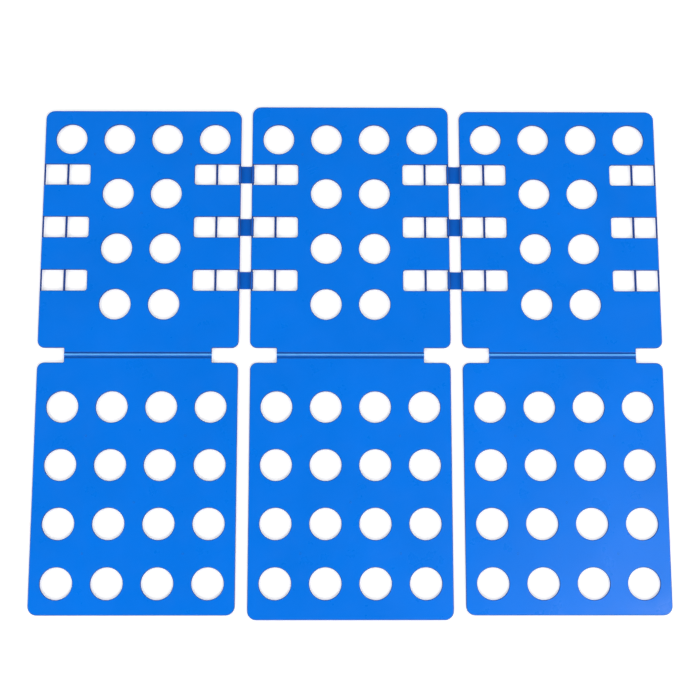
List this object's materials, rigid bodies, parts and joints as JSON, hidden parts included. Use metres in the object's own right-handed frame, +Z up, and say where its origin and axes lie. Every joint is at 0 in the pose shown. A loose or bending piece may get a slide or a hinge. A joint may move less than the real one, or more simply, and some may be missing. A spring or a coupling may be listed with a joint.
{
  "type": "shirt folding board",
  "caption": "Flat clothes-folding board of perforated plastic boards with living hinges across the middle, joined side by side by link clips.",
  "frame": {"origin": "on the table plane under the middle of the open board, on the hinge line", "axes": "+X to the right board, +Y to the collar end, +Z up from the table"},
  "size_m": [0.7, 0.582, 0.0034],
  "materials": {
    "blue_board": "satin moulded polypropylene",
    "hinge_film": "thin flexed polypropylene film",
    "blue_clip": "satin moulded polypropylene"
  },
  "bodies": {
    "left_upper": {"left_upper_leaf": "blue_board", "left_hinge_web": "hinge_film"},
    "left_lower": {"left_lower_leaf": "blue_board"},
    "centre_upper": {"centre_upper_leaf": "blue_board", "centre_hinge_web": "hinge_film"},
    "centre_lower": {"centre_lower_leaf": "blue_board"},
    "right_upper": {"right_upper_leaf": "blue_board", "right_hinge_web": "hinge_film"},
    "right_lower": {"right_lower_leaf": "blue_board"},
    "left_clips": {"left_clip_bottom": "blue_clip", "left_clip_middle": "blue_clip", "left_clip_top": "blue_clip"},
    "right_clips": {"right_clip_bottom": "blue_clip", "right_clip_middle": "blue_clip", "right_clip_top": "blue_clip"}
  },
  "joints": [
    {"name": "left_clip_swing", "type": "hinge", "parent": "centre_upper", "child": "left_clips", "pos_m": [-0.11142, 0.148, 0.00172], "axis": [0, 1, 0], "range_deg": [0, 90]},
    {"name": "left_board_fold", "type": "hinge", "parent": "left_clips", "child": "left_upper", "pos_m": [-0.12608, 0.148, 0.00172], "axis": [0, 1, 0], "range_deg": [0, 90]},
    {"name": "right_clip_swing", "type": "hinge", "parent": "centre_upper", "child": "right_clips", "pos_m": [0.11142, 0.148, 0.00172], "axis": [0, 1, 0], "range_deg": [-90, 0]},
    {"name": "right_board_fold", "type": "hinge", "parent": "right_clips", "child": "right_upper", "pos_m": [0.12608, 0.148, 0.00172], "axis": [0, 1, 0], "range_deg": [-90, 0]},
    {"name": "left_leaf_fold", "type": "hinge", "parent": "left_upper", "child": "left_lower", "pos_m": [-0.2375, 0, 0.0033], "axis": [1, 0, 0], "range_deg": [-180, 0], "deforming": ["left_hinge_web"]},
    {"name": "centre_leaf_fold", "type": "hinge", "parent": "centre_upper", "child": "centre_lower", "pos_m": [0, 0, 0.0033], "axis": [1, 0, 0], "range_deg": [-180, 0], "deforming": ["centre_hinge_web"]},
    {"name": "right_leaf_fold", "type": "hinge", "parent": "right_upper", "child": "right_lower", "pos_m": [0.2375, 0, 0.0033], "axis": [1, 0, 0], "range_deg": [-180, 0], "deforming": ["right_hinge_web"]}
  ]
}
